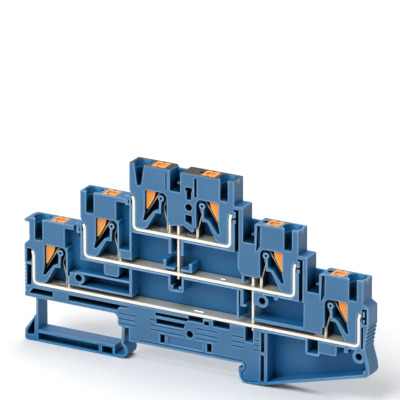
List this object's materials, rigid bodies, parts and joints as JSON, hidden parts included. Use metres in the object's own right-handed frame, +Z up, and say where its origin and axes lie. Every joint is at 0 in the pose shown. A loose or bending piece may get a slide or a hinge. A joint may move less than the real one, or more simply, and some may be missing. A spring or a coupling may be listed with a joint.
{
  "type": "multi-level terminal block",
  "caption": "Stepped rail-mounted terminal block slice with push-in wire clamps, bus bars on several levels, release levers and vertical links, open on one side.",
  "frame": {"origin": "middle of the rail seat, on the top plane of the rail, at mid width", "axes": "+X along the block to its longer right side, +Y along the rail to the closed side, +Z up from the rail"},
  "size_m": [0.1037, 0.0064, 0.0557],
  "materials": {
    "blue_housing": "matte moulded",
    "orange_lever": "matte moulded",
    "spring_steel": "bright",
    "tinned_copper": "tin plated"
  },
  "bodies": {
    "block": {"housing": "blue_housing", "lower_bus_bar": "tinned_copper", "middle_bus_bar": "tinned_copper", "upper_bus_bar": "tinned_copper", "lower_left_spring": "spring_steel", "lower_right_spring": "spring_steel", "middle_left_spring": "spring_steel", "middle_right_spring": "spring_steel", "upper_left_spring": "spring_steel", "upper_right_spring": "spring_steel", "upper_level_link": "tinned_copper", "lower_level_link": "tinned_copper"},
    "lower_left_lever": {"lower_left_lever": "orange_lever"},
    "lower_right_lever": {"lower_right_lever": "orange_lever"},
    "middle_left_lever": {"middle_left_lever": "orange_lever"},
    "middle_right_lever": {"middle_right_lever": "orange_lever"},
    "upper_left_lever": {"upper_left_lever": "orange_lever"},
    "upper_right_lever": {"upper_right_lever": "orange_lever"}
  },
  "joints": [
    {"name": "lower_left_press", "type": "slide", "parent": "block", "child": "lower_left_lever", "axis": [0, 0, -1], "range_m": [0, 0.0018], "stiffness_N_per_m": 2500, "deforming": ["lower_left_spring"]},
    {"name": "lower_right_press", "type": "slide", "parent": "block", "child": "lower_right_lever", "axis": [0, 0, -1], "range_m": [0, 0.0018], "stiffness_N_per_m": 2500, "deforming": ["lower_right_spring"]},
    {"name": "middle_left_press", "type": "slide", "parent": "block", "child": "middle_left_lever", "axis": [0, 0, -1], "range_m": [0, 0.0018], "stiffness_N_per_m": 2500, "deforming": ["middle_left_spring"]},
    {"name": "middle_right_press", "type": "slide", "parent": "block", "child": "middle_right_lever", "axis": [0, 0, -1], "range_m": [0, 0.0018], "stiffness_N_per_m": 2500, "deforming": ["middle_right_spring"]},
    {"name": "upper_left_press", "type": "slide", "parent": "block", "child": "upper_left_lever", "axis": [0, 0, -1], "range_m": [0, 0.0018], "stiffness_N_per_m": 2500, "deforming": ["upper_left_spring"]},
    {"name": "upper_right_press", "type": "slide", "parent": "block", "child": "upper_right_lever", "axis": [0, 0, -1], "range_m": [0, 0.0018], "stiffness_N_per_m": 2500, "deforming": ["upper_right_spring"]}
  ]
}
